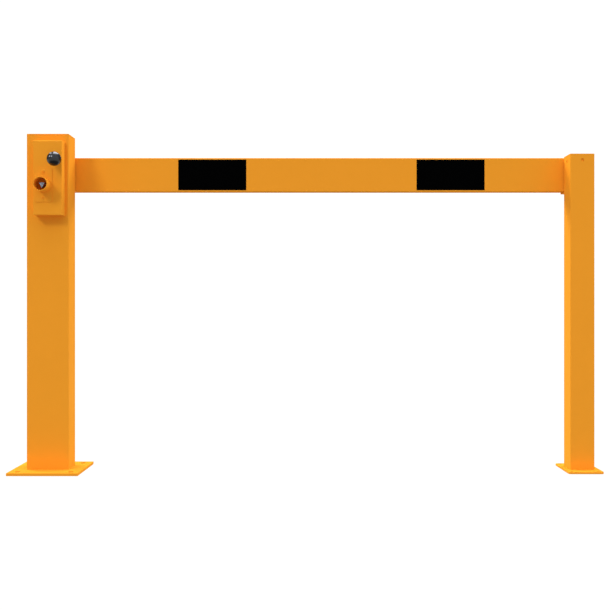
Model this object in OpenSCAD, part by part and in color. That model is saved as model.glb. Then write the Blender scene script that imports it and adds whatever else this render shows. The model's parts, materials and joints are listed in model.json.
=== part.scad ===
// Manual lift-up parking gate: a pivot post with a lock box, a flat boom that
// turns on a horizontal shaft behind the post, and a rest post with a cradle.
// Frame: origin on the ground under the pivot post, +X along the boom,
// +Y from the lock side (front) to the boom side (rear), +Z up. Millimetres.

/* [Pivot post] */
// Width of the pivot post along the gate
post_w = 120; // [118:1:130]
// Depth of the pivot post
post_d = 80; // [78:1:90]
// Height of the pivot post's top
post_top = 966; // [960:1:1020]
// Wall of the pivot post
post_wall = 4; // [3:0.5:4]
// Outer corner radius of the pivot post
post_r = 4; // [3.5:0.5:7]
// Side of the square plate under the pivot post
plate_w = 200; // [190:1:260]
// Thickness of the plate under the pivot post
plate_t = 8; // [6:1:12]
// Spacing of the anchor holes, both ways
anchor_s = 150; // [145:1:160]
// Diameter of the anchor holes
anchor_d = 16; // [10:1:18]

/* [Rest post] */
// Distance between the centres of the posts
span = 1529; // [1450:1:2400]
// Side of the square rest post
rest_w = 70; // [60:1:80]
// Height of the rest post's top
rest_top = 911; // [880:1:960]
// Wall of the rest post
rest_wall = 3; // [2.5:0.5:3]
// Outer corner radius of the rest post
rest_r = 4; // [3.5:0.5:6]
// Width of the plate under the rest post
foot_w = 100; // [96:1:140]
// Depth of the plate under the rest post
foot_d = 150; // [146:1:180]
// Thickness of the plate under the rest post
foot_t = 6; // [5:1:10]
// Corner radius of the plate under the rest post
foot_r = 7; // [3:1:10]
// Spacing of the rest post's anchor holes along the gate
foot_sx = 76; // [70:1:80]
// Spacing of the rest post's anchor holes across the gate
foot_sy = 126; // [110:1:128]
// Diameter of the rest post's anchor holes
foot_hole = 10; // [8:1:10]
// Distance of the cap screws below the top of the rest post
cap_screw_drop = 18; // [14:1:20]

/* [Boom] */
// Height of the boom's axis above the ground
boom_z = 860; // [800:1:880]
// Height of the boom
boom_h = 100; // [96:1:110]
// Depth of the boom
boom_d = 25; // [20:1:40]
// Wall of the boom
boom_wall = 2.5; // [2:0.5:3]
// How far the boom runs behind the pivot shaft
boom_tail = 50; // [48:1:120]
// How far the boom runs past the middle of the rest post
boom_over = 32; // [10:1:45]
// Width of one black marking panel
panel_w = 200; // [100:1:300]
// Height of one black marking panel
panel_h = 90; // [60:1:94]
// Distance of the first panel's middle from the pivot shaft
panel_x1 = 461.5; // [300:0.5:500]
// Distance of the second panel's middle from the pivot shaft
panel_x2 = 1162.5; // [900:0.5:1200]

/* [Lock box] */
// Width of the lock box
box_w = 80.5; // [76:0.5:90]
// Height of the lock box
box_h = 210; // [200:1:220]
// Depth of the lock box
box_d = 35; // [33:1:45]
// Outer diameter of the key guard
guard_d = 40; // [38:1:46]
// Length of the key guard in front of the plate
guard_l = 40; // [26:0.5:50]
// Diameter of the ball knob
knob_d = 40; // [30:1:40]

/* [Latch] */
// Travel of the latch plunger, which sets how far the knob stands off
latch_travel = 11; // [9:0.5:11]

/* [Hidden] */
$fn = 64;
fit = 0.02;             // gap between pieces that are fixed together
run = 0.05;             // radial gap of a running fit
over = 1;               // how far a cutter passes the face it cuts
// Names ending in _at are the [x, z] places of axes along Y.

// Posts
front_y = -post_d / 2;  // front face of the pivot post
back_y = post_d / 2;    // rear face of both posts
rest_y = back_y - rest_w / 2;
cap_t = 4;
wall_cut = 10;          // depth of the holes cut through the pivot post's wall
skirt_w = rest_w - 2 * rest_wall - 0.4; // part of the rest cap inside the post
skirt_h = 24;
skirt_wall = 4;
cap_screw_r = 2.5;

// Lock box and key
box_x = 9.25;           // middle of the lock box
box_z = boom_z - 128.5; // underside of the lock box
box_wall = 2.5;
face_y = front_y - box_d; // front face of the lock box
key_z = boom_z - 45.5;
key_at = [0, key_z];
guard_wall = 2;
key_bush_r = 11;
spindle_r = 6;
spindle_end_r = 4;
tongue_y0 = front_y - 14; // faces shared by the key tongue and the cam
tongue_y1 = front_y - 8;

// Inset plate on the face of the lock box
inset_t = 2;
inset_w = 49;
inset_h = 96;
inset_at = [-1.7, key_z + 1.2];
inset_y = face_y - inset_t; // its front face
inset_screw_r = 3;
inset_screws_at = [for (side = [-1, 1]) inset_at + [0, side * 37.6]];

// Knob and plunger
knob_x = 36;
knob_rise = 24.5;       // height of the knob above the shaft
knob_at = [knob_x, boom_z + knob_rise];
knob_y = face_y - knob_d / 2 - latch_travel - 0.5;
pin_r = 5;
guide_r = 8;
guide_y = front_y - 1.5; // front end of the plunger guide
collar_y = front_y - 17; // front face of the collar on the plunger pin
latch_r = norm([knob_x, knob_rise]);
latch_angle = atan2(knob_rise, knob_x);

// Boom and hub
boom_y0 = back_y + 5;   // front face of the boom
boom_y1 = boom_y0 + boom_d;
boom_y = (boom_y0 + boom_y1) / 2;
boom_length = boom_tail + span + boom_over;
boom_in_d = boom_d - 2 * boom_wall;
boom_in_h = boom_h - 2 * boom_wall;
hub_y = back_y + 1;     // front face of the hub
bolt_r = 4;
bolts_at = [for (x = [-28, 28], z = [-28, 28]) [x, boom_z + z]];

// Pivot shaft, its bushes and crank
shaft_at = [0, boom_z];
shaft_r = 12.5;
nose_r = 8;             // thin front end of the shaft
nose_y0 = front_y - 16;
nose_y1 = front_y + 7.5;
end_screw_r = 3;
end_screw_y = front_y + 1; // rear tip of the shaft end screw
front_bush_r = 11;
rear_bush_r = 16;
crank_r = 40;
crank_angle = -45;
crank_z = boom_z + crank_r * sin(crank_angle);
crank_at = [crank_r * cos(crank_angle), crank_z];
crank_pin_r = 5;
crank_y = front_y + 20; // front face of the crank arm

// Spring unit, upright beside the shaft
rod_x = (crank_at[0] + crank_r) / 2;
rod_y = -2;
rod_r = 5;
yoke_d = 12;
yoke_h = 26;
cyl_r = 12;
cyl_len = 280;
cyl_top = boom_z - 95;
cyl_z = cyl_top - cyl_len;
piston_z = cyl_top - 180;
piston_h = 10;
stud_r = 5;
bracket_t = 8;
nut_h = 8;

// Cradle
cradle_w = 70;
shelf_z = boom_z - boom_h / 2 - 4; // underside of the shelf
shelf_t = 2.5;
pad_w = 58;
pad_t = 1.3;

paint = [0.89, 0.58, 0.16];
steel = [0.62, 0.64, 0.66];
brass = [0.72, 0.58, 0.30];
black = [0.04, 0.04, 0.04];

// A rectangle with round corners
module round_rect(w, d, r) {
    square([w - 2 * r, d], center = true);
    square([w, d - 2 * r], center = true);
    for (x = [-1, 1], y = [-1, 1])
        translate([x * (w / 2 - r), y * (d / 2 - r)]) circle(r);
}

// A cylinder along Y from y0 to y1
module y_cyl(r, y0, y1, at = [0, 0], sides = 64)
    translate([at[0], y0, at[1]]) rotate([-90, 0, 0])
        cylinder(r = r, h = y1 - y0, $fn = sides);

// The cutter for a hole along Y through a body from y0 to y1
module y_bore(r, y0, y1, at = [0, 0]) y_cyl(r, y0 - over, y1 + over, at);

// A flat shape drawn in X and Z, from y0 to y1
module y_plate(y0, y1, at)
    translate([at[0], y1, at[1]]) rotate([90, 0, 0]) linear_extrude(y1 - y0) children();

// A flat shape drawn in Y and Z, extruded along X from x
module x_extrude(x, length)
    translate([x, 0, 0]) rotate([90, 0, 90]) linear_extrude(length) children();

// A block along X from x, centred in Y and Z
module x_block(x, length, d, h)
    translate([x, -d / 2, -h / 2]) cube([length, d, h]);

module at_rod(z) translate([rod_x, rod_y, z]) children();

module at_rest(z) translate([span, rest_y, z]) children();

// The four sides of the rest post, at the height of the cap screws
module at_cap_screws()
    at_rest(rest_top - cap_screw_drop)
        for (a = [0:90:270]) rotate([0, 0, a]) children();

// Rectangular tube from z0 up to the cap of a post whose top is at top
module post_tube(w, d, r, wall, z0, top) difference() {
    translate([0, 0, z0]) linear_extrude(top - cap_t - z0) round_rect(w, d, r);
    translate([0, 0, z0 - over]) linear_extrude(top)
        square([w - 2 * wall, d - 2 * wall], center = true);
}

// Cutters for four anchor holes in a plate of thickness t
module anchor_holes(sx, sy, hole_d, t)
    for (x = [-1, 1], y = [-1, 1])
        translate([x * sx / 2, y * sy / 2, -over]) cylinder(d = hole_d, h = t + 2 * over);

// Dome-headed screw along Y, head towards -Y, with a hexagon socket
module dome_screw(head_r, head_h, shank_r, length) {
    sphere_r = (pow(head_r, 2) + pow(head_h, 2)) / (2 * head_h);
    difference() {
        union() {
            intersection() {
                translate([0, sphere_r - head_h, 0]) sphere(sphere_r, $fn = 64);
                y_cyl(head_r, -head_h - over, 0);
            }
            y_cyl(shank_r, -0.5, length);
        }
        y_cyl(2.5, -head_h - over, -0.6, sides = 6);
    }
}

// Coil along Y: rings of points around the wire, swept along a helix.
// a is the angle along the helix, t the angle around the wire.
function coil_point(a, t, mean_r, wire_r, length, turns) =
    let(r = mean_r + wire_r * cos(t))
    [r * cos(a), length * a / (360 * turns) + wire_r * sin(t), r * sin(a)];

module coil(mean_r, wire_r, length, turns, steps = 20, sides = 6) {
    last = turns * steps;
    points = [for (i = [0:last], j = [0:sides - 1])
        coil_point(360 * i / steps, 360 * j / sides, mean_r, wire_r, length, turns)];
    skin = [for (i = [0:last - 1], j = [0:sides - 1])
        let(ring = i * sides, next = ring + sides, k = (j + 1) % sides)
        [ring + j, ring + k, next + k, next + j]];
    start = [for (j = [sides - 1:-1:0]) j];
    end = [for (j = [0:sides - 1]) last * sides + j];
    polyhedron(points = points, faces = concat(skin, [start], [end]));
}

module pivot_post() {
    color(paint) difference() {
        post_tube(post_w, post_d, post_r, post_wall, plate_t, post_top);
        y_cyl(front_bush_r + fit, front_y - over, front_y + wall_cut, shaft_at);
        y_cyl(rear_bush_r + fit, back_y - wall_cut, back_y + over, shaft_at);
        y_cyl(guide_r + fit, front_y - over, front_y + wall_cut, knob_at);
        y_cyl(spindle_end_r + run, front_y - over, front_y + wall_cut, key_at);
    }
}

module pivot_base_plate() {
    color(paint) difference() {
        translate([-plate_w / 2, -plate_w / 2, 0]) cube([plate_w, plate_w, plate_t]);
        anchor_holes(anchor_s, anchor_s, anchor_d, plate_t);
    }
}

module pivot_post_cap() {
    color(paint) translate([0, 0, post_top - cap_t]) linear_extrude(cap_t)
        round_rect(post_w, post_d, post_r);
}

// Box open to the rear: its side view crossed with its plan
module lock_box_cover() {
    bend = 3.5;  // radius along the top front edge
    edge = 1;    // radius of the other front edges
    top = box_z + box_h;
    color(paint) difference() {
        intersection() {
            x_extrude(box_x - box_w / 2, box_w) union() {
                translate([face_y + bend, box_z]) square([box_d - bend, box_h]);
                translate([face_y, box_z + edge]) square([bend + 1, box_h - bend - edge]);
                translate([face_y + edge, box_z]) square([bend, edge + 1]);
                translate([face_y + bend, top - bend]) circle(bend);
                translate([face_y + edge, box_z + edge]) circle(edge);
            }
            translate([box_x, 0, box_z - over]) linear_extrude(box_h + 2 * over) union() {
                translate([-box_w / 2, face_y + edge]) square([box_w, box_d - edge]);
                translate([-box_w / 2 + edge, face_y]) square([box_w - 2 * edge, edge + 1]);
                for (side = [-1, 1])
                    translate([side * (box_w / 2 - edge), face_y + edge]) circle(edge);
            }
        }
        y_plate(face_y + box_wall, front_y + over, [box_x, box_z + box_h / 2])
            square([box_w - 2 * box_wall, box_h - 2 * box_wall], center = true);
        y_cyl(key_bush_r + fit, face_y - over, front_y, key_at);
        y_cyl(pin_r + 0.6, face_y - over, front_y, knob_at);
        for (at = inset_screws_at) y_cyl(inset_screw_r + fit, face_y - over, front_y, at);
    }
}

module inset_plate() {
    color(paint) difference() {
        y_plate(inset_y, face_y, inset_at) round_rect(inset_w, inset_h, 5);
        y_bore(key_bush_r + fit, inset_y, face_y, key_at);
        for (at = inset_screws_at) y_bore(inset_screw_r + fit, inset_y, face_y, at);
    }
}

module inset_screws() {
    color(paint) for (at = inset_screws_at) translate([at[0], inset_y, at[1]])
        dome_screw(head_r = 6, head_h = 2.2, shank_r = inset_screw_r, length = 10);
}

module key_guard_tube() {
    color(paint) difference() {
        y_cyl(guard_d / 2, inset_y - guard_l, inset_y, key_at);
        y_bore(guard_d / 2 - guard_wall, inset_y - guard_l, inset_y, key_at);
    }
}

module key_bush() {
    flange_y = face_y + box_wall;
    color(brass) difference() {
        union() {
            y_cyl(key_bush_r, inset_y, face_y + 8, key_at);
            y_cyl(14, flange_y, flange_y + 3, key_at);
        }
        y_bore(spindle_r + run, inset_y, face_y + 8, key_at);
    }
}

module key_spindle() {
    drive_y = inset_y - 0.3;   // rear end of the drive
    step_y = tongue_y1 + 1;    // where the spindle gets thinner
    color(steel) {
        // triangular drive, one flat upwards
        y_plate(face_y - 24, drive_y, key_at) intersection() {
            rotate(-90) circle(r = 9.7, $fn = 3);
            circle(r = 8.8, $fn = 48);
        }
        y_cyl(spindle_r, drive_y, step_y, key_at);
        y_cyl(spindle_end_r, step_y, front_y + 3, key_at);
    }
}

module key_tongue() {
    arm_l = 19;
    tip_r = 5;
    color(steel) difference() {
        y_plate(tongue_y0, tongue_y1, key_at) union() {
            circle(9);
            translate([0, -tip_r]) square([arm_l, 2 * tip_r]);
            translate([arm_l, 0]) circle(tip_r);
        }
        y_bore(spindle_r + fit, tongue_y0, tongue_y1, key_at);
    }
}

module ball_knob() {
    color(black) difference() {
        union() {
            translate([knob_x, knob_y, knob_at[1]]) sphere(d = knob_d, $fn = 96);
            y_cyl(9, knob_y, knob_y + knob_d / 2 + 0.1, knob_at);
        }
        y_cyl(pin_r + fit, knob_y + 8, knob_y + knob_d, knob_at);
    }
}

module plunger_pin() {
    color(steel) {
        y_cyl(pin_r, knob_y + 9, front_y + 7.5, knob_at);
        y_cyl(7.8, collar_y, collar_y + 2.5, knob_at);
    }
}

module plunger_guide() {
    color(brass) difference() {
        union() {
            y_cyl(guide_r, guide_y, front_y + 7, knob_at);
            y_cyl(guide_r + 1, guide_y, front_y, knob_at);
        }
        y_cyl(pin_r + run, front_y - 3, front_y + 8, knob_at);
    }
}

module plunger_spring() {
    start_y = face_y + box_wall + 1;
    color(steel) translate([knob_x, start_y, knob_at[1]])
        coil(mean_r = 6.5, wire_r = 0.8, length = collar_y - start_y - 1.5, turns = 5);
}

module pivot_shaft() {
    color(steel) difference() {
        union() {
            y_cyl(nose_r, nose_y0, nose_y1, shaft_at);
            y_cyl(shaft_r, nose_y1, boom_y0, shaft_at);
        }
        y_bore(end_screw_r + fit, nose_y0, end_screw_y, shaft_at);
    }
}

module shaft_end_screw() {
    head_y = nose_y0 - 1.5;  // between the hexagon and the round washer
    color(steel) {
        y_cyl(11, head_y, nose_y0, shaft_at);
        y_cyl(6, head_y - 4.5, head_y, shaft_at, 6);
        y_cyl(end_screw_r, nose_y0, end_screw_y, shaft_at);
    }
}

module front_bush() {
    color(brass) difference() {
        union() {
            y_cyl(front_bush_r, front_y - 3, front_y + 5, shaft_at);
            y_cyl(15, front_y + post_wall, front_y + 6.5, shaft_at);
        }
        y_cyl(nose_r + run, front_y - 4, front_y + 8, shaft_at);
    }
}

module rear_bush() {
    color(brass) difference() {
        union() {
            y_cyl(rear_bush_r, back_y - 8, back_y, shaft_at);
            y_cyl(21, back_y - 9, back_y - post_wall, shaft_at);
        }
        y_bore(shaft_r + run, back_y - 9, back_y, shaft_at);
    }
}

// Cam with one tooth that meets the key tongue
module lock_cam() {
    hub_r = 13;
    color(steel) difference() {
        union() {
            y_plate(tongue_y0, tongue_y1, shaft_at) union() {
                circle(20);
                // the tooth: a wedge cut off round at its tip
                intersection() {
                    circle(36);
                    polygon(concat([[0, 0]],
                        [for (a = [222, 238, 255]) 60 * [cos(a), sin(a)]]));
                }
            }
            y_cyl(hub_r, tongue_y1 - 0.5, front_y - 3.6, shaft_at);
            y_cyl(hub_r, nose_y0, tongue_y0 + 0.5, shaft_at);
        }
        y_cyl(nose_r + fit, nose_y0 - over, front_y, shaft_at);
    }
}

// Disc with a plunger hole for the closed boom and one for the open boom
module latch_disc() {
    y0 = front_y + 9;
    y1 = y0 + 7;
    color(steel) difference() {
        y_cyl(54, y0, y1, shaft_at, 96);
        y_bore(shaft_r + fit, y0, y1, shaft_at);
        for (a = [latch_angle, latch_angle - 90])
            y_bore(pin_r + 0.3, y0, y1, shaft_at + latch_r * [cos(a), sin(a)]);
    }
}

module crank_arm() {
    tip_r = 9;
    y1 = crank_y + 8;
    color(steel) difference() {
        y_plate(crank_y, y1, shaft_at) union() {
            circle(18);
            rotate(crank_angle) translate([0, -tip_r]) square([crank_r, 2 * tip_r]);
            rotate(crank_angle) translate([crank_r, 0]) circle(tip_r);
        }
        y_bore(shaft_r + fit, crank_y, y1, shaft_at);
        y_bore(crank_pin_r + fit, crank_y, y1, crank_at);
    }
}

module crank_pin() {
    color(steel) y_cyl(crank_pin_r, crank_y, rod_y + yoke_d / 2, crank_at);
}

// Block with a wide slot for the crank pin and a hole for the rod below
module spring_yoke() {
    color(steel) at_rod(crank_z) difference() {
        cube([33, yoke_d, yoke_h], center = true);
        cube([22.8, yoke_d + 2 * over, yoke_h / 2], center = true);
        translate([0, 0, -yoke_h / 2 - over]) cylinder(r = rod_r + fit, h = 6);
    }
}

// Rod with a piston at its lower end
module spring_rod() {
    rod_z = piston_z + piston_h;
    color(steel) {
        at_rod(piston_z) cylinder(r = 9, h = piston_h);
        at_rod(rod_z) cylinder(r = rod_r, h = crank_z - 8.5 - rod_z);
    }
}

// Hollow cylinder with a stud at its lower end
module spring_cylinder() {
    color(black) difference() {
        union() {
            at_rod(cyl_z) cylinder(r = cyl_r, h = cyl_len);
            at_rod(cyl_z - 20) cylinder(r = stud_r, h = 21);
        }
        at_rod(cyl_z + 8) cylinder(r = 9.08, h = cyl_len - 20);
        at_rod(cyl_top - 20) cylinder(r = rod_r + run, h = 30);
    }
}

// Angle: a shelf under the cylinder and a leg on the post's inner +X face
module spring_bracket() {
    depth = 28;
    leg_t = 6;
    inner_x = post_w / 2 - post_wall;
    x0 = rod_x - depth / 2;
    y0 = rod_y - depth / 2;
    color(steel) difference() {
        union() {
            translate([x0, y0, cyl_z - bracket_t]) cube([inner_x - x0, depth, bracket_t]);
            translate([inner_x - leg_t, y0, cyl_z - 68]) cube([leg_t, depth, 61]);
        }
        at_rod(cyl_z - bracket_t - over)
            cylinder(r = stud_r + fit, h = bracket_t + 2 * over);
    }
}

module spring_nut() {
    nut_z = cyl_z - bracket_t - nut_h;
    color(steel) difference() {
        at_rod(nut_z) cylinder(r = 9.4, h = nut_h, $fn = 6);
        at_rod(nut_z - over) cylinder(r = stud_r + fit, h = nut_h + 2 * over);
    }
}

module boom_hub() {
    color(steel) difference() {
        y_cyl(46, hub_y, boom_y0, shaft_at, 96);
        y_bore(shaft_r + fit, hub_y, boom_y0, shaft_at);
        for (at = bolts_at) y_bore(bolt_r + fit, hub_y, boom_y0, at);
    }
}

// Bolts with a washer and a nut behind the boom
module boom_bolts() {
    nut_y = boom_y1 + 1.6;
    color(steel) for (at = bolts_at) {
        y_cyl(bolt_r, hub_y, boom_y1, at);
        y_cyl(8, boom_y1, nut_y, at);
        y_cyl(7, nut_y, nut_y + 5.3, at, 6);
    }
}

// The boom's outer section, extruded along X from x
module boom_bar(x, length) x_extrude(x, length) round_rect(boom_d, boom_h, 3);

module boom_tube() {
    color(paint) difference() {
        translate([-boom_tail, boom_y, boom_z]) difference() {
            boom_bar(0, boom_length);
            x_block(-over, boom_length + 2 * over, boom_in_d, boom_in_h);
        }
        for (at = bolts_at) y_bore(bolt_r + fit, boom_y0, boom_y1, at);
    }
}

// At each end a flat cap with a plug that is hollow towards the boom
module boom_end_caps() {
    cap = 2.5;
    plug_l = 14;
    plug_d = boom_in_d - 0.2;
    plug_h = boom_in_h - 0.2;
    end_wall = 1.5;
    side_wall = 2;
    // columns: x of the boom's end, turn about Z
    ends = [[-boom_tail, 0], [span + boom_over, 180]];
    color(black) for (end = ends)
        translate([end[0], boom_y, boom_z]) rotate([0, 0, end[1]]) {
            boom_bar(-cap, cap);
            difference() {
                x_block(0, plug_l, plug_d, plug_h);
                x_block(end_wall, plug_l - end_wall + over,
                    plug_d - 2 * side_wall, plug_h - 2 * side_wall);
            }
        }
}

module marking_panels() {
    panel_t = 0.4;
    color("black") for (x = [panel_x1, panel_x2], y = [boom_y0 - panel_t, boom_y1])
        translate([x - panel_w / 2, y, boom_z - panel_h / 2])
            cube([panel_w, panel_t, panel_h]);
}

module rest_post() {
    color(paint) difference() {
        at_rest(0) post_tube(rest_w, rest_w, rest_r, rest_wall, foot_t, rest_top);
        at_cap_screws() y_bore(4.5, -rest_w / 2, -rest_w / 2 + rest_wall);
    }
}

module rest_base_plate() {
    color(paint) at_rest(0) difference() {
        linear_extrude(foot_t) round_rect(foot_w, foot_d, foot_r);
        anchor_holes(foot_sx, foot_sy, foot_hole, foot_t);
    }
}

// Cap with a hollow skirt inside the post
module rest_post_cap() {
    hollow_w = skirt_w - 2 * skirt_wall;
    color(paint) difference() {
        at_rest(rest_top - cap_t) difference() {
            union() {
                linear_extrude(cap_t) round_rect(rest_w, rest_w, rest_r);
                translate([-skirt_w / 2, -skirt_w / 2, -skirt_h])
                    cube([skirt_w, skirt_w, skirt_h + 1]);
            }
            translate([-hollow_w / 2, -hollow_w / 2, -skirt_h - over])
                cube([hollow_w, hollow_w, skirt_h + over]);
        }
        at_cap_screws() y_bore(cap_screw_r + fit, -skirt_w / 2, -skirt_w / 2 + skirt_wall);
    }
}

module cap_screws() {
    seat_y = -skirt_w / 2;
    color(paint) at_cap_screws() difference() {
        union() {
            y_cyl(4.3, seat_y - 1.3, seat_y);
            y_cyl(cap_screw_r, seat_y, seat_y + 7);
        }
        y_cyl(1.8, seat_y - 3, seat_y - 0.3, sides = 6);
    }
}

// Bent plate on the back of the rest post: a shelf and a rear guide
module rest_cradle() {
    y = boom_y1 + 3;  // front face of the rear guide
    z = shelf_z;
    color(paint) x_extrude(span - cradle_w / 2, cradle_w)
        polygon([[back_y, z], [y + 3, z], [y + 3, z + 38], [y + 8, z + 50],
            [y + 5.2, z + 51.3], [y, z + 39], [y, z + shelf_t], [back_y, z + shelf_t]]);
}

module cradle_pad() {
    color(black) translate([span - pad_w / 2, boom_y0 + 1, shelf_z + shelf_t])
        cube([pad_w, boom_d - 2, pad_t]);
}

pivot_post();
pivot_base_plate();
pivot_post_cap();
lock_box_cover();
inset_plate();
inset_screws();
key_guard_tube();
key_bush();
key_spindle();
key_tongue();
ball_knob();
plunger_pin();
plunger_guide();
plunger_spring();
pivot_shaft();
shaft_end_screw();
front_bush();
rear_bush();
lock_cam();
latch_disc();
crank_arm();
crank_pin();
spring_yoke();
spring_rod();
spring_cylinder();
spring_bracket();
spring_nut();
boom_hub();
boom_bolts();
boom_tube();
boom_end_caps();
marking_panels();
rest_post();
rest_base_plate();
rest_post_cap();
cap_screws();
rest_cradle();
cradle_pad();
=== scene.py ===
"""Looks of a manual lift-up parking gate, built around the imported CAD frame.

Metres, +Z up. The gate stands on Z = 0 and stretches along X; the camera is in front of it,
on the -Y side, and looks along +Y, so +X is to the right.
"""
import json
import math

import bmesh
import bpy
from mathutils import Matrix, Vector

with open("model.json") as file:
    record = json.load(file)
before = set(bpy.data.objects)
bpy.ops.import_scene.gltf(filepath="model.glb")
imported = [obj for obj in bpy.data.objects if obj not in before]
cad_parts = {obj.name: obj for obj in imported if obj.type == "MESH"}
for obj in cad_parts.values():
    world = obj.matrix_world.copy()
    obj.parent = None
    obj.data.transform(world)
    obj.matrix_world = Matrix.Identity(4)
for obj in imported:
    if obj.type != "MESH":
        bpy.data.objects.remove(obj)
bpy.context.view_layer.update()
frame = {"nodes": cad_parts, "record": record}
NODES = frame["nodes"]
scene = bpy.context.scene
MM = 0.001
WHITE = (1, 1, 1, 1)


# ---------------------------------------------------------------- node helpers
class Graph:
    """Adds nodes and links to an emptied node tree."""

    def __init__(self, tree):
        self.tree = tree
        tree.nodes.clear()

    def link(self, source, target):
        self.tree.links.new(source, target)

    def put(self, socket, value):
        """Links a socket, or sets a value; a three-part colour gets an alpha of 1."""
        if isinstance(value, bpy.types.NodeSocket):
            self.link(value, socket)
            return
        if hasattr(value, "__len__") and len(value) == 3 and len(socket.default_value) == 4:
            value = (*value, 1.0)
        socket.default_value = value

    def add(self, kind, inputs=None, **settings):
        node = self.tree.nodes.new(kind)
        for key, value in settings.items():
            setattr(node, key, value)
        for key, value in (inputs or {}).items():
            self.put(node.inputs[key], value)
        return node

    def calc(self, operation, *operands, clamp=False):
        node = self.add("ShaderNodeMath", dict(enumerate(operands)),
                        operation=operation, use_clamp=clamp)
        return node.outputs[0]

    def spread(self, value, span, low):
        """value * span + low"""
        return self.calc("MULTIPLY_ADD", value, span, low)

    def dot(self, first, second):
        node = self.add("ShaderNodeVectorMath", {0: first, 1: second}, operation="DOT_PRODUCT")
        return node.outputs["Value"]

    def ramp(self, value, start, end, at_start=0.0, at_end=1.0):
        """A smooth step; start may lie above end."""
        node = self.add("ShaderNodeMapRange", {
            "Value": value, "From Min": start, "From Max": end,
            "To Min": at_start, "To Max": at_end}, interpolation_type="SMOOTHSTEP")
        return node.outputs[0]

    def light(self, kind, strength, color=WHITE):
        return self.add(kind, {"Color": color, "Strength": strength}).outputs[0]

    def mix_shader(self, factor, first, second):
        return self.add("ShaderNodeMixShader", {0: factor, 1: first, 2: second}).outputs[0]


class Surface(Graph):
    """A material around one Principled shader, textured in object coordinates."""

    def __init__(self, name):
        self.material = bpy.data.materials.new(name)
        self.material.use_nodes = True
        super().__init__(self.material.node_tree)
        output = self.add("ShaderNodeOutputMaterial")
        self.principled = self.add("ShaderNodeBsdfPrincipled")
        self.link(self.principled.outputs[0], output.inputs["Surface"])
        self.coords = self.add("ShaderNodeTexCoord").outputs["Object"]

    def noise(self, scale, detail=3.0, rough=0.55, stretch=None, distort=0.0):
        coords = self.coords
        if stretch:
            coords = self.add("ShaderNodeMapping", {"Scale": stretch, "Vector": coords}).outputs[0]
        node = self.add("ShaderNodeTexNoise", {
            "Vector": coords, "Scale": scale, "Detail": detail,
            "Roughness": rough, "Distortion": distort})
        return node.outputs["Fac"]

    def mix(self, factor, first, second):
        node = self.add("ShaderNodeMix", data_type="RGBA")
        for index, value in ((0, factor), (6, first), (7, second)):
            self.put(node.inputs[index], value)
        return node.outputs[2]

    def edge(self, radius):
        """Rises from 0 on flat ground towards 1 near a sharp edge."""
        bevel = self.add("ShaderNodeBevel", {"Radius": radius}, samples=4)
        geometry = self.add("ShaderNodeNewGeometry")
        facing = self.dot(bevel.outputs[0], geometry.outputs["Normal"])
        return self.calc("SUBTRACT", 1.0, facing, clamp=True)

    # Mixes a colour in along sharp edges: real wear on steel, film and plastic, but a painted
    # highlight on the powder coat.
    def edge_wear_and_highlight(self, color, edge_color, radius, amount, start=0.05):
        mask = self.ramp(self.edge(radius), start=start, end=0.30)
        return self.mix(self.calc("MULTIPLY", mask, amount), color, edge_color)

    def bump(self, height, strength, distance, normal=None):
        inputs = {"Height": height, "Strength": strength, "Distance": distance}
        if normal is not None:
            inputs["Normal"] = normal
        return self.add("ShaderNodeBump", inputs).outputs[0]

    def finish(self, color, rough, normal, metal=0.0, specular=None):
        values = {"Base Color": color, "Roughness": rough, "Metallic": metal, "Normal": normal}
        if specular is not None:
            values["Specular IOR Level"] = specular
        for key, value in values.items():
            self.put(self.principled.inputs[key], value)
        return self.material


def shade(color, factor):
    return [part * factor for part in color]


# ---------------------------------------------------------------- materials
def paint_material():
    base = (0.970, 0.3686, 0.0261)
    g = Surface("powder_coat")
    broad = g.noise(scale=5.0, detail=4.0, rough=0.6)
    cloud = g.noise(scale=38.0, rough=0.5)
    # both noises are centred on 0, then their sum on 0.5
    mottle = g.spread(g.calc("SUBTRACT", broad, 0.5), span=0.10,
                      low=g.spread(g.calc("SUBTRACT", cloud, 0.5), span=0.05, low=0.5))
    color = g.mix(g.ramp(mottle, start=0.44, end=0.56), shade(base, 0.975), shade(base, 1.02))
    # painted highlight: the coat's rounded edges get a lighter, yellower colour for the light they
    # catch; the coat itself is unworn
    color = g.edge_wear_and_highlight(color, edge_color=(0.985, 0.415, 0.036),
                         radius=1.6 * MM, amount=0.35, start=0.02)
    rough = g.spread(g.noise(scale=120.0), span=0.10, low=0.36)
    peel = g.noise(scale=420.0, detail=2.0, rough=0.5)
    fine = g.noise(scale=1500.0, detail=2.0, rough=0.5)
    normal = g.bump(peel, strength=0.035, distance=0.20 * MM)
    normal = g.bump(fine, strength=0.03, distance=0.05 * MM, normal=normal)
    # reflections are strongest where the coat faces the viewer
    weight = g.add("ShaderNodeLayerWeight", {"Blend": 0.5})
    facing = g.calc("SUBTRACT", 1.0, weight.outputs["Facing"], clamp=True)
    specular = g.calc("MULTIPLY", g.calc("POWER", facing, 2.0), 0.04)
    return g.finish(color, rough, normal, specular=specular)


def steel_material(name, tint=(0.50, 0.51, 0.53), rough=0.30, stretch=(1, 1, 1), scale=900.0):
    """Tool marks of the given noise scale, pressed together by stretch."""
    g = Surface(name)
    lines = g.noise(scale=scale, rough=0.6, stretch=stretch)
    cloud = g.noise(scale=60.0)
    color = g.mix(g.ramp(cloud, start=0.35, end=0.65), shade(tint, 0.90), shade(tint, 1.08))
    color = g.edge_wear_and_highlight(color, edge_color=shade(tint, 1.35), radius=0.6 * MM, amount=0.5)
    return g.finish(color, g.spread(lines, span=0.16, low=rough - 0.05),
                    g.bump(lines, strength=0.12, distance=0.05 * MM), metal=1.0)


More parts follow.
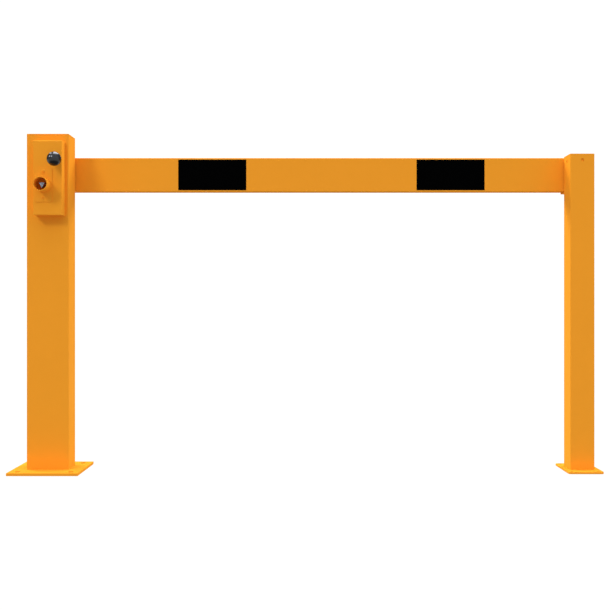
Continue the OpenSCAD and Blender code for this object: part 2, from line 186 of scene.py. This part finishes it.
def zinc_material():
    g = Surface("zinc_plate")
    cells = g.add("ShaderNodeTexVoronoi", {"Vector": g.coords, "Scale": 420.0})
    cell_gray = g.add("ShaderNodeRGBToBW", {0: cells.outputs["Color"]}).outputs[0]
    color = g.mix(cell_gray, (0.56, 0.57, 0.58), (0.72, 0.73, 0.72))
    rough = g.spread(g.noise(scale=300.0), span=0.15, low=0.25)
    normal = g.bump(g.noise(scale=900.0), strength=0.08, distance=0.05 * MM)
    return g.finish(color, rough, normal, metal=1.0)


def bronze_material():
    g = Surface("sintered_bronze")
    pores = g.ramp(g.noise(scale=2200.0, detail=2.0, rough=0.6), start=0.60, end=0.68)
    color = g.mix(g.noise(scale=90.0), (0.46, 0.28, 0.11), (0.62, 0.41, 0.18))
    pore_color = (0.16, 0.09, 0.04)
    color = g.mix(g.calc("MULTIPLY", pores, 0.7), color, pore_color)
    return g.finish(color, g.spread(pores, span=0.2, low=0.34),
                    g.bump(pores, strength=0.2, distance=-0.05 * MM), metal=1.0)


def gloss_black_material():
    g = Surface("gloss_phenolic")
    swirl = g.noise(scale=55.0, detail=5.0, rough=0.6, distort=1.2)
    color = g.mix(swirl, (0.0035, 0.0035, 0.0040), (0.0075, 0.0075, 0.0080))
    marks = g.noise(scale=700.0, detail=2.0, rough=0.5, stretch=(1, 0.12, 1))
    scratch = g.ramp(marks, start=0.62, end=0.70)
    rough = g.spread(scratch, span=0.06, low=0.07)
    normal = g.bump(g.noise(scale=160.0, detail=2.0), strength=0.02, distance=0.08 * MM)
    return g.finish(color, rough, normal, specular=0.5)


def film_material():
    g = Surface("black_film")
    grain = g.noise(scale=1300.0, rough=0.6)
    color = g.mix(grain, (0.0002, 0.0002, 0.0002), (0.0005, 0.0005, 0.0005))
    color = g.edge_wear_and_highlight(color, edge_color=(0.004, 0.004, 0.004), radius=0.5 * MM, amount=0.4)
    rough = g.spread(g.noise(scale=200.0), span=0.08, low=0.62)
    normal = g.bump(grain, strength=0.10, distance=0.04 * MM)
    return g.finish(color, rough, normal, specular=0.006)


def plastic_material(name, base=(0.018, 0.018, 0.019), rough=0.5):
    g = Surface(name)
    grain = g.noise(scale=1100.0, rough=0.65)
    color = g.mix(g.noise(scale=40.0), shade(base, 0.85), shade(base, 1.2))
    color = g.edge_wear_and_highlight(color, edge_color=shade(base, 2.2), radius=0.8 * MM, amount=0.35)
    return g.finish(color, g.spread(grain, span=0.12, low=rough - 0.05),
                    g.bump(grain, strength=0.18, distance=0.08 * MM), specular=0.4)


MATERIALS = {  # by the frame's slot name; "spindle" is picked by piece
    "paint": paint_material(),
    "steel": steel_material("machined_steel"),
    "zinc": zinc_material(),
    "rod_chrome": steel_material("hard_chrome", tint=(0.72, 0.73, 0.75), rough=0.10,
                                 stretch=(1, 1, 6), scale=1400.0),
    "bronze": bronze_material(),
    "knob": gloss_black_material(),
    "film": film_material(),
    "cap_plastic": plastic_material("moulded_plastic"),
    "cylinder_black": plastic_material("black_lacquer", base=(0.014, 0.014, 0.015), rough=0.28),
    "pad_rubber": plastic_material("pad_rubber", base=(0.012, 0.012, 0.012), rough=0.72),
    "spindle": steel_material("spindle_steel", tint=(0.190, 0.210, 0.232), rough=0.34),
}

# ---------------------------------------------------------------- CAD pieces
WELD_DISTANCE = 0.004 * MM
SHARP_ANGLE = math.radians(32.0)
FLAT_ANGLE = math.radians(0.3)
BEVEL_ANGLE = math.radians(40)

BEVELS = {  # piece: (width in mm, segments)
    "pivot_base_plate": (0.8, 3),
    "pivot_post_cap": (1.0, 3),
    "rest_base_plate": (0.8, 3),
    "rest_post_cap": (1.0, 3),
    "inset_plate": (0.7, 3),
    "key_guard_tube": (0.5, 3),
    "rest_cradle": (0.8, 3),
    "cradle_pad": (0.5, 2),
    "boom_hub": (0.6, 2),
    "boom_bolts": (0.35, 2),
    "boom_end_caps": (0.8, 2),
    "crank_arm": (0.6, 2),
    "latch_disc": (0.5, 2),
    "lock_cam": (0.5, 2),
    "spring_yoke": (0.7, 2),
    "spring_bracket": (0.7, 2),
    "spring_nut": (0.4, 2),
    "key_tongue": (0.4, 2),
    "key_spindle": (0.5, 3),
    "shaft_end_screw": (0.3, 2),
    "boom_tube": (0.3, 2),
}


def smoothing_group():
    """Geometry nodes that weld the imported corners and mark sharp edges."""
    tree = bpy.data.node_groups.new("weld_and_sharpen", "GeometryNodeTree")
    for direction in ("INPUT", "OUTPUT"):
        tree.interface.new_socket("Geometry", in_out=direction, socket_type="NodeSocketGeometry")
    g = Graph(tree)
    source = g.add("NodeGroupInput")
    result = g.add("NodeGroupOutput")
    drop = g.add("GeometryNodeRemoveAttribute",
                 {"Geometry": source.outputs[0], "Name": "custom_normal"})
    weld = g.add("GeometryNodeMergeByDistance",
                 {"Geometry": drop.outputs[0], "Distance": WELD_DISTANCE})
    soft = g.add("GeometryNodeSetShadeSmooth",
                 {"Geometry": weld.outputs[0], "Shade Smooth": True}, domain="FACE")
    hard = g.add("GeometryNodeSetShadeSmooth",
                 {"Geometry": soft.outputs[0], "Shade Smooth": False}, domain="EDGE")
    angle = g.add("GeometryNodeInputMeshEdgeAngle").outputs["Unsigned Angle"]
    g.link(g.calc("GREATER_THAN", angle, SHARP_ANGLE), hard.inputs["Selection"])
    g.link(hard.outputs[0], result.inputs[0])
    return tree


def bevel_edges(piece, width, segments):
    """Joins the triangles of each flat face, so that the bevel runs evenly along its edges."""
    flats = piece.modifiers.new("merge_flats", "DECIMATE")
    flats.decimate_type = "DISSOLVE"
    flats.angle_limit = FLAT_ANGLE
    bevel = piece.modifiers.new("bevel", "BEVEL")
    bevel.width = width
    bevel.segments = segments
    bevel.limit_method = "ANGLE"
    bevel.angle_limit = BEVEL_ANGLE
    bevel.use_clamp_overlap = True
    bevel.miter_outer = "MITER_ARC"


def weigh_normals(piece):
    weighted = piece.modifiers.new("weighted_normals", "WEIGHTED_NORMAL")
    weighted.mode = "FACE_AREA"
    weighted.weight = 50
    weighted.keep_sharp = True


def dress(name, piece, material, smoothing):
    piece.data.materials.clear()
    piece.data.materials.append(material)
    for polygon in piece.data.polygons:
        polygon.material_index = 0
        polygon.use_smooth = True
    piece.modifiers.new("weld_and_sharpen", "NODES").node_group = smoothing
    if name in BEVELS:
        width, segments = BEVELS[name]
        bevel_edges(piece, width * MM, segments)
    weigh_normals(piece)


slots = {part["node"]: part["material_slot"] for part in frame["record"]["subparts"]}
smoothing = smoothing_group()
for name, piece in NODES.items():
    slot = "spindle" if name == "key_spindle" else slots[name]
    dress(name, piece, MATERIALS[slot], smoothing)

# ---------------------------------------------------------------- floor
BACKDROP = 1.05  # brightness of floor and world as the camera sees them
FLOOR_HALF_SIZE = 40.0
FLOOR_PLACE = (0.75, 0.0, -0.0006)
FLOOR_GLOW = 0.508  # light the floor throws on matt surfaces


def floor_material():
    """Plain white to the camera; mirrored, it darkens towards the origin."""
    material = bpy.data.materials.new("pale_floor")
    material.use_nodes = True
    g = Graph(material.node_tree)
    output = g.add("ShaderNodeOutputMaterial")
    path = g.add("ShaderNodeLightPath")
    seen = g.light("ShaderNodeEmission", BACKDROP)
    glow = g.light("ShaderNodeEmission", FLOOR_GLOW)
    position = g.add("ShaderNodeNewGeometry").outputs["Position"]
    distance = g.add("ShaderNodeVectorMath", {0: position}, operation="LENGTH").outputs["Value"]
    strength = g.ramp(distance, start=0.8, end=1.9, at_start=0.18, at_end=1.0)
    mirrored = g.light("ShaderNodeEmission", strength, color=(0.95, 1.0, 0.96, 1))
    unseen = g.mix_shader(path.outputs["Is Glossy Ray"], glow, mirrored)
    mixed = g.mix_shader(path.outputs["Is Camera Ray"], unseen, seen)
    g.link(mixed, output.inputs["Surface"])
    return material


def build_floor():
    bm = bmesh.new()
    bmesh.ops.create_grid(bm, x_segments=1, y_segments=1, size=FLOOR_HALF_SIZE)
    mesh = bpy.data.meshes.new("floor")
    bm.to_mesh(mesh)
    bm.free()
    floor = bpy.data.objects.new("floor", mesh)
    floor.location = FLOOR_PLACE
    scene.collection.objects.link(floor)
    mesh.materials.append(floor_material())


build_floor()

# ---------------------------------------------------------------- world
DOME_BASE = 0.212  # even light from all directions
FILL_DIRECTION = Vector((0.93, -0.34, 0.12)).normalized()  # right, a little to the front
LAMP_DIRECTIONS = ((-0.806, -0.347, 0.479), (-0.399, -0.750, 0.528))  # front left, above
MIRROR_TINT = (0.89, 0.92, 1.0, 1)


def dome_level(g, direction, x, z):
    """Soft light on matt surfaces: an even base and lobes that fade away from a direction."""

    def lobe(value, amount, power, sign=1.0):
        toward = g.calc("MAXIMUM", g.calc("MULTIPLY", value, sign), 0.0)
        return g.calc("MULTIPLY", g.calc("POWER", toward, power), amount)

    level = g.calc("ADD", lobe(z, amount=0.48, power=1.5), DOME_BASE)
    level = g.calc("ADD", level, lobe(z, amount=3.20, power=8.0))
    level = g.calc("ADD", level, lobe(x, amount=0.50, power=2.0))
    level = g.calc("ADD", level, lobe(x, amount=0.20, power=2.0, sign=-1.0))
    toward_fill = g.dot(direction, FILL_DIRECTION)
    return g.calc("ADD", level, lobe(toward_fill, amount=0.57, power=6.0))


def mirror_level(g, direction, x, y, z):
    """What glossy rays see: a pale room, two softboxes overhead, two small lamps."""
    front = g.ramp(y, start=0.5, end=-0.4)
    room = g.calc("ADD", g.calc("MULTIPLY", front, 0.92), 0.28)
    height = g.calc("ADD", z, g.calc("MULTIPLY", y, 0.35))  # leans the boxes to the back

    def softbox(bottom, left, right):
        """Each side is a fade, given as (outer, inner)."""
        above = g.ramp(height, *bottom)
        across = g.calc("MULTIPLY", g.ramp(x, *left), g.ramp(x, *right))
        return g.calc("MULTIPLY", above, across)

    wide_box = softbox(bottom=(0.86, 0.94), left=(-0.24, -0.14), right=(0.52, 0.42))
    small_box = softbox(bottom=(0.76, 0.84), left=(-0.74, -0.64), right=(-0.36, -0.46))
    far_left = g.ramp(x, start=-0.35, end=-0.75)
    dimming = g.calc("SUBTRACT", 1.0, g.calc("MULTIPLY", far_left, 0.45))
    level = g.calc("ADD", g.calc("MULTIPLY", room, dimming), g.calc("MULTIPLY", wide_box, 7.0))
    level = g.calc("ADD", level, g.calc("MULTIPLY", small_box, 4.0))
    for lamp in LAMP_DIRECTIONS:
        toward_lamp = g.dot(direction, Vector(lamp).normalized())
        spot = g.ramp(toward_lamp, start=0.985, end=0.993)
        level = g.calc("ADD", level, g.calc("MULTIPLY", spot, 12.0))
    return level


def build_world():
    world = bpy.data.worlds.new("studio")
    scene.world = world
    world.use_nodes = True
    g = Graph(world.node_tree)
    output = g.add("ShaderNodeOutputWorld")
    path = g.add("ShaderNodeLightPath")
    direction = g.add("ShaderNodeTexCoord").outputs["Generated"]
    x, y, z = g.add("ShaderNodeSeparateXYZ", {0: direction}).outputs
    soft = g.light("ShaderNodeBackground", dome_level(g, direction, x, z))
    shiny = g.light("ShaderNodeBackground", mirror_level(g, direction, x, y, z), MIRROR_TINT)
    seen = g.light("ShaderNodeBackground", BACKDROP)
    unseen = g.mix_shader(path.outputs["Is Glossy Ray"], soft, shiny)
    mixed = g.mix_shader(path.outputs["Is Camera Ray"], unseen, seen)
    g.link(mixed, output.inputs["Surface"])
    world.cycles.sampling_method = "NONE"


build_world()

# ---------------------------------------------------------------- suns
SUNS = (  # name, direction to the light, strength, angular size in degrees
    ("key", (-0.70, -1.0, 0.78), 0.865, 14.0),
    ("rim_left", (-0.80, 0.60, 0.62), 1.90, 24.0),
    ("rim_right", (0.80, 0.60, 0.62), 1.06, 24.0),
)

for name, to_light, strength, angle in SUNS:
    light = bpy.data.lights.new(name, "SUN")
    light.energy = strength
    light.angle = math.radians(angle)
    sun = bpy.data.objects.new(name, light)
    sun.rotation_euler = Vector(to_light).to_track_quat("Z", "Y").to_euler()
    sun.visible_glossy = False
    scene.collection.objects.link(sun)

# ---------------------------------------------------------------- camera
CAMERA_PLACE = (0.7382, -2.7498, 0.4820)
SENSOR_WIDTH = 36.0  # mm
FOCAL_LENGTH = 56.0655738  # mm
CAMERA_SHIFT = (-0.00218032787, -0.00262295082)  # in sensor widths

camera_data = bpy.data.cameras.new("camera")
camera = bpy.data.objects.new("camera", camera_data)
scene.collection.objects.link(camera)
camera.location = CAMERA_PLACE
camera.rotation_euler = (math.radians(90), 0, 0)
camera_data.sensor_width = SENSOR_WIDTH
camera_data.lens = FOCAL_LENGTH
camera_data.shift_x, camera_data.shift_y = CAMERA_SHIFT
camera_data.clip_end = 100
scene.camera = camera

scene.view_settings.view_transform = "Standard"
scene.view_settings.look = "None"
scene.view_settings.exposure = 0.0
scene.view_settings.gamma = 1.0

bpy.context.view_layer.update()
